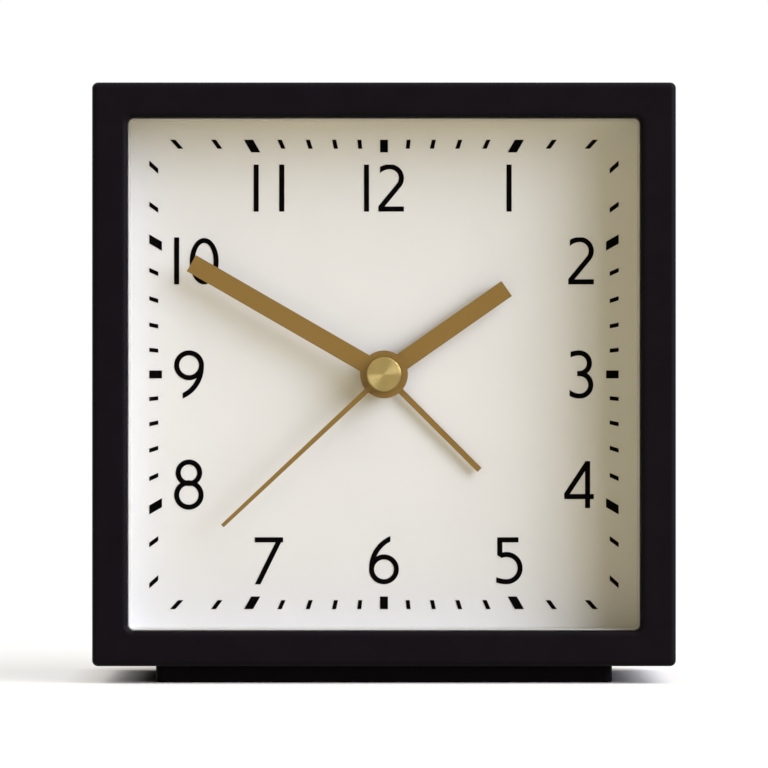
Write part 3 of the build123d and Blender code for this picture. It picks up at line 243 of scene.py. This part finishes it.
# Softboxes: azimuth and elevation about the dial, width and height in metres, power in watts and colour
LAMP_DISTANCE = 3.0
TALL_BOX = (1.6, 2.6)
LOW_BOX = (1.6, 2.0)
SQUARE_BOX = (2.0, 2.0)
COOL_LIGHT = (0.81, 0.85, 1.0)
LAMPS = {
    "front": (46, 25, TALL_BOX, 46, COOL_LIGHT),
    "side": (60, 20, LOW_BOX, 48, COOL_LIGHT),
    "far": (74, 26, TALL_BOX, 78, COOL_LIGHT),
    "left": (-20, 24, TALL_BOX, 11, (1.0, 0.86, 0.54)),
    "over": (60, 65, SQUARE_BOX, 44, (1.0, 0.96, 0.88)),
    "rear": (-142, 40, SQUARE_BOX, 48, (1.0, 0.97, 0.93)),
}

# Faint warm light from all round
FILL_STRENGTH = 0.04
FILL_COLOUR = (1.0, 0.88, 0.54, 1.0)

# Floor: its colour for the light that it sends back and as it is seen, and the share of painted white glow it is
# seen with at a share of its reach from the plinth; the painted glow fades the real shadow away from the plinth
FLOOR_SIDE = 12.0
FLOOR_LIT_COLOUR = (0.62, 0.55, 0.37, 1.0)
FLOOR_SEEN_COLOUR = (1.0, 0.96, 0.9, 1.0)
FLOOR_REACH = 0.3
FLOOR_PAINTED_GLOW_SHARES = ((0, 0), (0.006, 0), (0.02, 0.12), (0.055, 0.66), (0.5, 0.85), (1, 1))

# Places of the colour sockets on a mix node, whose names are not unique
MIX_FIRST_COLOUR = 6
MIX_SECOND_COLOUR = 7
MIX_RESULT_COLOUR = 2


# Objects and shader nodes

def add_object(name, data):
    """A new object in the scene."""
    thing = bpy.data.objects.new(name, data)
    bpy.context.scene.collection.objects.link(thing)
    return thing


def feed(tree, node, inputs):
    """Gives a node's inputs their values: an output of another node is linked, and the rest are set."""
    for name, value in inputs.items():
        if isinstance(value, bpy.types.NodeSocket):
            tree.links.new(value, node.inputs[name])
        else:
            node.inputs[name].default_value = value


def add_node(tree, kind, inputs=None, **settings):
    """A node with its own settings, and its inputs fed."""
    node = tree.nodes.new(kind)
    for name, value in settings.items():
        setattr(node, name, value)
    feed(tree, node, inputs or {})
    return node


def new_material(name):
    """A node material with its Principled shader, ready for its own nodes."""
    material = bpy.data.materials.new(name)
    material.use_nodes = True
    return material, material.node_tree, material.node_tree.nodes["Principled BSDF"]


def number_math(tree, operation, first, second):
    """A number worked out from two others."""
    return add_node(tree, "ShaderNodeMath", {0: first, 1: second}, operation=operation).outputs["Value"]


def vector_math(tree, operation, *vectors):
    """A vector worked out from one or two others, or the length of one."""
    node = add_node(tree, "ShaderNodeVectorMath", dict(enumerate(vectors)), operation=operation)
    return node.outputs["Value" if operation == "LENGTH" else "Vector"]


def mix_shaders(tree, share, first, second):
    """Two shaders mixed, with a share of the second."""
    return add_node(tree, "ShaderNodeMixShader", {0: share, 1: first, 2: second}).outputs["Shader"]


def position(tree, squeeze=(1, 1, 1)):
    """The place on the object in its own frame, for a pattern that is squeezed along each axis."""
    place = add_node(tree, "ShaderNodeTexCoord").outputs["Object"]
    return add_node(tree, "ShaderNodeMapping", {"Vector": place, "Scale": squeeze}).outputs["Vector"]


def noise(tree, place, size, detail):
    """Noise whose lumps are about a size across."""
    inputs = {"Vector": place, "Scale": 1 / size, "Detail": detail}
    return add_node(tree, "ShaderNodeTexNoise", inputs).outputs["Fac"]


def spread(tree, value, middle, reach):
    """A noise value spread to both sides of a middle number."""
    low, high = NOISE_RANGE
    limits = {"From Min": low, "From Max": high, "To Min": middle - reach, "To Max": middle + reach}
    return add_node(tree, "ShaderNodeMapRange", {"Value": value, **limits}).outputs["Result"]


def colour_ramp(tree, value, stops, interpolation="LINEAR"):
    """A colour that a value picks from stops, each with its place and colour."""
    node = add_node(tree, "ShaderNodeValToRGB", {"Fac": value})
    node.color_ramp.interpolation = interpolation
    elements = node.color_ramp.elements
    for index, (place, colour) in enumerate(stops):
        stop = elements[index] if index < len(elements) else elements.new(place)
        stop.position = place
        stop.color = (*colour, 1)
    return node.outputs["Color"]


def two_tone(tree, value, colour, tone_share):
    """A colour that goes from darker to lighter by a share, as a noise value rises."""
    dark = [channel * (1 - tone_share) for channel in colour]
    light = [channel * (1 + tone_share) for channel in colour]
    return colour_ramp(tree, value, zip(NOISE_RANGE, (dark, light)))


def bump(tree, height, depth):
    """A normal that a bump of a real depth gives."""
    inputs = {"Strength": 1, "Distance": depth, "Height": height}
    return add_node(tree, "ShaderNodeBump", inputs).outputs["Normal"]


# Finishes

def plastic(name, colour, roughness, specular, grain, depth, tone_share=PLASTIC_TONE_SHARE):
    """Moulded plastic: a fine grain, with colour and gloss that vary a little."""
    material, tree, shader = new_material(name)
    place = position(tree)
    fine = noise(tree, place, grain, GRAIN_DETAIL)
    clouds = noise(tree, place, CLOUD_GRAINS * grain, CLOUD_DETAIL)
    feed(tree, shader, {
        "Base Color": two_tone(tree, clouds, colour, tone_share),
        "Roughness": spread(tree, fine, roughness, PLASTIC_ROUGHNESS_SPREAD),
        "Specular IOR Level": specular,
        "Normal": bump(tree, fine, depth),
    })
    return material


def metal(name, colour, roughness, grain, depth, squeeze=(1, 1, 1), metallic=1.0):
    """Metal with a fine grain that is squeezed where it is drawn, and less metallic under a lacquer."""
    material, tree, shader = new_material(name)
    streaks = noise(tree, position(tree, squeeze), grain, STREAK_DETAIL)
    feed(tree, shader, {
        "Base Color": two_tone(tree, streaks, colour, METAL_TONE_SHARE),
        "Roughness": spread(tree, streaks, roughness, METAL_ROUGHNESS_SPREAD),
        "Metallic": metallic,
        "Normal": bump(tree, streaks, depth),
    })
    return material


def turned_brass(name, centre):
    """Brass turned on a lathe: rings round an axis that runs along Y."""
    material, tree, shader = new_material(name)
    offset = vector_math(tree, "SUBTRACT", position(tree), centre)
    radius = vector_math(tree, "LENGTH", vector_math(tree, "MULTIPLY", offset, (1, 0, 1)))
    inputs = {"W": radius, "Scale": 1 / CAP_RING, "Detail": STREAK_DETAIL}
    rings = add_node(tree, "ShaderNodeTexNoise", inputs, noise_dimensions="1D").outputs["Fac"]
    tangent = add_node(tree, "ShaderNodeTangent", direction_type="RADIAL", axis="Y").outputs["Tangent"]
    feed(tree, shader, {
        "Base Color": two_tone(tree, rings, CAP_COLOUR, METAL_TONE_SHARE),
        "Roughness": spread(tree, rings, CAP_ROUGHNESS, CAP_ROUGHNESS_SPREAD),
        "Metallic": 1,
        "Anisotropic": CAP_ANISOTROPY,
        "Anisotropic Rotation": CAP_ROTATION_SHARE,
        "Tangent": tangent,
    })
    return material


def clear_lens(name):
    """Clear sheet: light goes straight through, with a gloss that grows with the slant."""
    material, tree, shader = new_material(name)
    tree.nodes.remove(shader)
    through = add_node(tree, "ShaderNodeBsdfTransparent", {"Color": LENS_COLOUR}).outputs["BSDF"]
    gloss = add_node(tree, "ShaderNodeBsdfGlossy", {"Roughness": LENS_ROUGHNESS}).outputs["BSDF"]
    slant = add_node(tree, "ShaderNodeLayerWeight", {"Blend": LENS_BLEND}).outputs["Facing"]
    rise = number_math(tree, "POWER", slant, LENS_GLOSS_POWER)
    share = number_math(tree, "MULTIPLY", rise, LENS_GLOSS_SHARE)
    feed(tree, tree.nodes["Material Output"], {"Surface": mix_shaders(tree, share, through, gloss)})
    return material


def cell_sleeve(name):
    """Sleeve of a battery: dark, with a pale band at the positive end and bare steel tips."""
    material, tree, shader = new_material(name)
    low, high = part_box("battery")
    contact_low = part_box("positive_contact")[0]
    negative, positive = (low.x, high.x) if contact_low.x > low.x else (high.x, low.x)
    place = position(tree)
    across = add_node(tree, "ShaderNodeSeparateXYZ", {"Vector": place}).outputs["X"]
    limits = {"From Min": negative, "From Max": positive}
    share = add_node(tree, "ShaderNodeMapRange", {"Value": across, **limits}).outputs["Result"]
    fine = noise(tree, place, CELL_GRAIN, GRAIN_DETAIL)
    feed(tree, shader, {
        "Base Color": colour_ramp(tree, share, CELL_BAND_SHARES, "CONSTANT"),
        "Roughness": spread(tree, fine, CELL_ROUGHNESS, CELL_ROUGHNESS_SPREAD),
        "Normal": bump(tree, fine, CELL_GRAIN_DEPTH),
    })
    return material


def dress_nodes(finishes):
    """Gives each node the finish of its material slot."""
    for subpart in frame["record"]["subparts"]:
        mesh = frame["nodes"][subpart["node"]].data
        mesh.materials.clear()
        mesh.materials.append(finishes[subpart["material_slot"]])


# Marks on the back, drawn across and up as they are seen from behind

def arc_point(centre, radius, angle):
    """The point of an arc at an angle."""
    turn = radians(angle)
    return centre[0] + radius * cos(turn), centre[1] + radius * sin(turn)


def arc(centre, radius, start, end):
    """Points along an arc, from one angle to another."""
    angles = [start + (end - start) * step / ARC_STEPS for step in range(ARC_STEPS + 1)]
    return [arc_point(centre, radius, angle) for angle in angles]


def circle(centre, radius):
    """Points round a circle."""
    return arc(centre, radius, 0, FULL_TURN)[:-1]


def box_outline(centre, width, height):
    """Corners of an upright rectangle."""
    x, y = centre
    across, up = width / 2, height / 2
    return [(x - across, y - up), (x + across, y - up), (x + across, y + up), (x - across, y + up)]


def moved(outline, x, y):
    """An outline moved from the origin to a place."""
    return [(x + across, y + up) for across, up in outline]


def outline_curve(name, outlines):
    """A flat filled curve from closed outlines, where an outline inside another is a hole."""
    curve = bpy.data.curves.new(name, "CURVE")
    curve.dimensions = "2D"
    curve.fill_mode = "BOTH"
    for outline in outlines:
        spline = curve.splines.new("POLY")
        spline.points.add(len(outline) - 1)
        spline.use_cyclic_u = True
        for point, (x, y) in zip(spline.points, outline):
            point.co = (x, y, 0, 1)
    return curve


def word_curve(name, word, place):
    """A flat word, centred on a place."""
    curve = bpy.data.curves.new(name, "FONT")
    curve.body = word
    curve.size = WORD_SIZE
    curve.align_x = "CENTER"
    curve.offset_x = place[0]
    curve.offset_y = place[1] - WORD_SIZE * WORD_HEIGHT_SHARE / 2
    return curve


def mark_mesh(name, curve, back):
    """A curve as a thin closed mesh that stands out of a face at the back."""
    curve.extrude = (MARK_RISE + MARK_SINK) / 2
    drawing = add_object(f"{name}_drawing", curve)
    bpy.context.view_layer.update()
    drawn = drawing.evaluated_get(bpy.context.evaluated_depsgraph_get())
    mesh = bpy.data.meshes.new_from_object(drawn)
    bpy.data.objects.remove(drawing)
    mesh.name = name
    middle = back + (MARK_RISE - MARK_SINK) / 2
    # Across turns to -X, up to Z and the rise to Y
    mesh.transform(Matrix(((-1, 0, 0, 0), (0, 0, 1, middle), (0, 1, 0, 0), (0, 0, 0, 1))))
    shape = bmesh.new()
    shape.from_mesh(mesh)
    bmesh.ops.remove_doubles(shape, verts=shape.verts, dist=MARK_SINK * MARK_WELD_SHARE)
    bmesh.ops.recalc_face_normals(shape, faces=shape.faces)
    shape.to_mesh(mesh)
    shape.free()
    return mesh


def add_mark(name, curve, back, body, finish):
    """A thin raised mark on a body's face that looks backwards, from a drawn curve."""
    mesh = mark_mesh(name, curve, back)
    mesh.materials.clear()
    mesh.materials.append(finish)
    mark = add_object(name, mesh)
    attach(mark, body)


def seen_from_behind(node):
    """The middle and the half size of a node, as it is seen from behind."""
    low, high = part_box(node)
    middle = (low + high) / 2
    half = (high - low) / 2
    return (-middle.x, middle.z), half


def turning_arrow(knob):
    """A curved arrow below a knob, which points the way that sets it forward."""
    centre, half = seen_from_behind(knob)
    radius = half.z + ARROW_GAP
    inner, outer = radius - MARK_LINE / 2, radius + MARK_LINE / 2
    head = [
        arc_point(centre, radius + ARROW_HEAD / 2, ARROW_END),
        arc_point(centre, radius, ARROW_END - ARROW_HEAD_TURN),
        arc_point(centre, radius - ARROW_HEAD / 2, ARROW_END),
    ]
    return [arc(centre, outer, ARROW_START, ARROW_END) + head + arc(centre, inner, ARROW_END, ARROW_START)]


def above_knob(knob):
    """The middle of a small picture above a knob."""
    centre, half = seen_from_behind(knob)
    return centre[0], centre[1] + half.z + PICTURE_GAP + PICTURE_RADIUS


def clock_picture(centre):
    """A ring with two hands."""
    width = PICTURE_LINE_SHARE * MARK_LINE
    line = width / 2
    short, long = [share * PICTURE_RADIUS for share in CLOCK_HAND_SHARES]
    hands = [(-line, -line), (short, -line), (short, line), (line, line), (line, long), (-line, long)]
    return [circle(centre, PICTURE_RADIUS), circle(centre, PICTURE_RADIUS - width), moved(hands, *centre)]


def bell_picture(centre):
    """A bell with its clapper."""
    x, y = centre
    dome, mouth = BELL_DOME_SHARE * PICTURE_RADIUS, BELL_MOUTH_SHARE * PICTURE_RADIUS
    waist, base = y + BELL_WAIST_PLACE_SHARE * PICTURE_RADIUS, y + BELL_MOUTH_PLACE_SHARE * PICTURE_RADIUS
    top = arc((x, y + BELL_DOME_PLACE_SHARE * PICTURE_RADIUS), dome, 0, HALF_TURN)
    bell = [(x + mouth, base), (x + dome, waist)] + top + [(x - dome, waist), (x - mouth, base)]
    return [bell, circle((x, y + CLAPPER_PLACE_SHARE * PICTURE_RADIUS), CLAPPER_SHARE * PICTURE_RADIUS)]


def plus_sign():
    """The outline of a plus about the origin, an arm at a time."""
    line = MARK_LINE / 2
    arm = [(line, line), (line, SIGN_REACH), (-line, SIGN_REACH)]
    plus = []
    for _ in range(SIGN_ARMS):
        plus += arm
        arm = [(-up, across) for across, up in arm]
    return plus


def cell_picture():
    """The outline of a battery with its two signs, for its way round."""
    centre, half = seen_from_behind("battery_door")
    contact, _ = seen_from_behind("positive_contact")
    side = 1 if contact[0] > centre[0] else -1
    y = centre[1] - half.z + CELL_RISE + CELL_HEIGHT / 2
    end, up, nub = CELL_LENGTH / 2, CELL_HEIGHT / 2, CELL_NUB_HEIGHT / 2
    tip = end + CELL_NUB_LENGTH
    lower = [(-end, -up), (end, -up), (end, -nub), (tip, -nub)]
    upper = [(across, -rise) for across, rise in reversed(lower)]
    outer = [(side * across, y + rise) for across, rise in lower + upper]
    inner = box_outline((0, y), CELL_LENGTH - MARK_LINE, CELL_HEIGHT - MARK_LINE)
    sign_x = side * (end - SIGN_INSET)
    minus = box_outline((-sign_x, y), 2 * SIGN_REACH, MARK_LINE)
    return [outer, inner, moved(plus_sign(), sign_x, y), minus]


def switch_words():
    """The words at the ends of the switch's travel, each with its place."""
    low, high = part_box("alarm_switch")
    height = (low.z + high.z) / 2
    joints = {joint["name"]: joint for joint in frame["joints"]}
    travel = joints["alarm_switch_slide"]["range_m"][1]
    room = WORD_GAP + WORD_SIZE
    return {
        "on_word": ("ON", (-high.x - travel - room, height)),
        "off_word": ("OFF", (-low.x + room, height)),
    }


def add_back_marks(finish):
    """Arrows and pictures by the knobs, words by the switch and a battery on its door."""
    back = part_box("back_cover")[1].y
    door_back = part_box("battery_door")[1].y
    for use, picture in {"time": clock_picture, "alarm": bell_picture}.items():
        knob = f"{use}_set_knob"
        drawings = {f"{use}_arrow": turning_arrow(knob), f"{use}_picture": picture(above_knob(knob))}
        for name, outlines in drawings.items():
            add_mark(name, outline_curve(name, outlines), back, "clock_body", finish)
    for name, (word, place) in switch_words().items():
        add_mark(name, word_curve(name, word, place), back, "clock_body", finish)
    drawing = outline_curve("cell_picture", cell_picture())
    add_mark("cell_picture", drawing, door_back, "battery_door_body", finish)


# Camera, floor and light

def add_camera():
    """A level camera in front of the dial."""
    data = bpy.data.cameras.new("camera")
    data.sensor_width = SENSOR_WIDTH
    data.lens = SENSOR_WIDTH * CAMERA_DISTANCE / VIEW_WIDTH
    camera = add_object("camera", data)
    camera.location = (0, cad_low.y - CAMERA_DISTANCE, CAMERA_HEIGHT)
    camera.rotation_euler = (radians(CAMERA_TILT), 0, 0)
    bpy.context.scene.camera = camera


def seen_ray(tree):
    """One where a ray comes from the camera, a mirror or a clear sheet, and else zero."""
    path = add_node(tree, "ShaderNodeLightPath").outputs
    mirrored = number_math(tree, "MAXIMUM", path["Is Glossy Ray"], path["Is Transmission Ray"])
    return number_math(tree, "MAXIMUM", path["Is Camera Ray"], mirrored)


def plinth_distance(tree):
    """How far a place on the floor is from the plinth's outline, as a share of the floor's reach."""
    low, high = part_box("plinth")
    middle = (low + high) / 2
    half = (high - low) / 2
    offset = vector_math(tree, "SUBTRACT", position(tree), (middle.x, middle.y, 0))
    beyond = vector_math(tree, "SUBTRACT", vector_math(tree, "ABSOLUTE", offset), (half.x, half.y, 0))
    outside = vector_math(tree, "MAXIMUM", beyond, (0, 0, 0))
    return number_math(tree, "DIVIDE", vector_math(tree, "LENGTH", outside), FLOOR_REACH)


def floor_painted_glow(name):
    """Matt floor that keeps its real shadow by the plinth; further away a painted white glow, seen only by the
    camera and in mirrors, fades that shadow.
    """
    material, tree, shader = new_material(name)
    tree.nodes.remove(shader)
    seen = seen_ray(tree)
    colours = {MIX_FIRST_COLOUR: FLOOR_LIT_COLOUR, MIX_SECOND_COLOUR: FLOOR_SEEN_COLOUR}
    colour = add_node(tree, "ShaderNodeMix", {"Factor": seen, **colours}, data_type="RGBA")
    matte = add_node(tree, "ShaderNodeBsdfDiffuse", {"Color": colour.outputs[MIX_RESULT_COLOUR]})
    # Painted white glow, seen only by the camera and in mirrors
    white = add_node(tree, "ShaderNodeEmission", {"Color": WHITE, "Strength": 1})
    stops = [(place, (share, share, share)) for place, share in FLOOR_PAINTED_GLOW_SHARES]
    # The painted glow's share rises with the distance from the plinth and fades the floor's real shadow there
    far = number_math(tree, "MULTIPLY", colour_ramp(tree, plinth_distance(tree), stops), seen)
    surface = mix_shaders(tree, far, matte.outputs["BSDF"], white.outputs["Emission"])
    feed(tree, tree.nodes["Material Output"], {"Surface": surface})
    return material


def add_floor():
    """A plain floor, level with the plinth's underside."""
    corners = [(x, y, 0) for x, y in box_outline((0, 0), FLOOR_SIDE, FLOOR_SIDE)]
    mesh = bpy.data.meshes.new("floor")
    mesh.from_pydata(corners, [], [range(len(corners))])
    mesh.materials.append(floor_painted_glow("floor_painted_glow"))
    add_object("floor", mesh)


def set_world():
    """A white surround for what is seen or mirrored, and a soft warm fill for what is lit."""
    world = bpy.data.worlds.new("surround")
    bpy.context.scene.world = world
    world.use_nodes = True
    tree = world.node_tree
    tree.nodes.clear()
    fill = add_node(tree, "ShaderNodeBackground", {"Color": FILL_COLOUR, "Strength": FILL_STRENGTH})
    white = add_node(tree, "ShaderNodeBackground", {"Color": WHITE, "Strength": 1})
    surface = mix_shaders(tree, seen_ray(tree), fill.outputs["Background"], white.outputs["Background"])
    add_node(tree, "ShaderNodeOutputWorld", {"Surface": surface})


def add_softbox(name, target, azimuth, elevation, size, power, colour):
    """A rectangular area lamp that faces a target, from its angles about it."""
    data = bpy.data.lights.new(name, "AREA")
    data.shape = "RECTANGLE"
    data.size, data.size_y = size
    data.energy = power
    data.color = colour
    turn, rise = radians(azimuth), radians(elevation)
    direction = Vector((sin(turn) * cos(rise), -cos(turn) * cos(rise), sin(rise)))
    lamp = add_object(name, data)
    lamp.location = target + LAMP_DISTANCE * direction
    lamp.rotation_euler = (-direction).to_track_quat("-Z", "Y").to_euler()


# The clock, and then what it is seen in
cap_low, cap_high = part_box("second_hand_cap")
cap_middle = (cap_low + cap_high) / 2

finishes = {slot: plastic(slot, **finish) for slot, finish in PLASTICS.items()}
finishes.update({slot: metal(slot, **finish) for slot, finish in METALS.items()})
finishes["cap_brass"] = turned_brass("cap_brass", cap_middle)
finishes["lens_clear"] = clear_lens("lens_clear")
finishes["cell_wrap"] = cell_sleeve("cell_wrap")
dress_nodes(finishes)
add_back_marks(finishes[MARK_SLOT])

add_camera()
add_floor()
set_world()
for lamp, settings in LAMPS.items():
    add_softbox(lamp, cap_middle, *settings)

bpy.context.scene.view_settings.view_transform = "Standard"
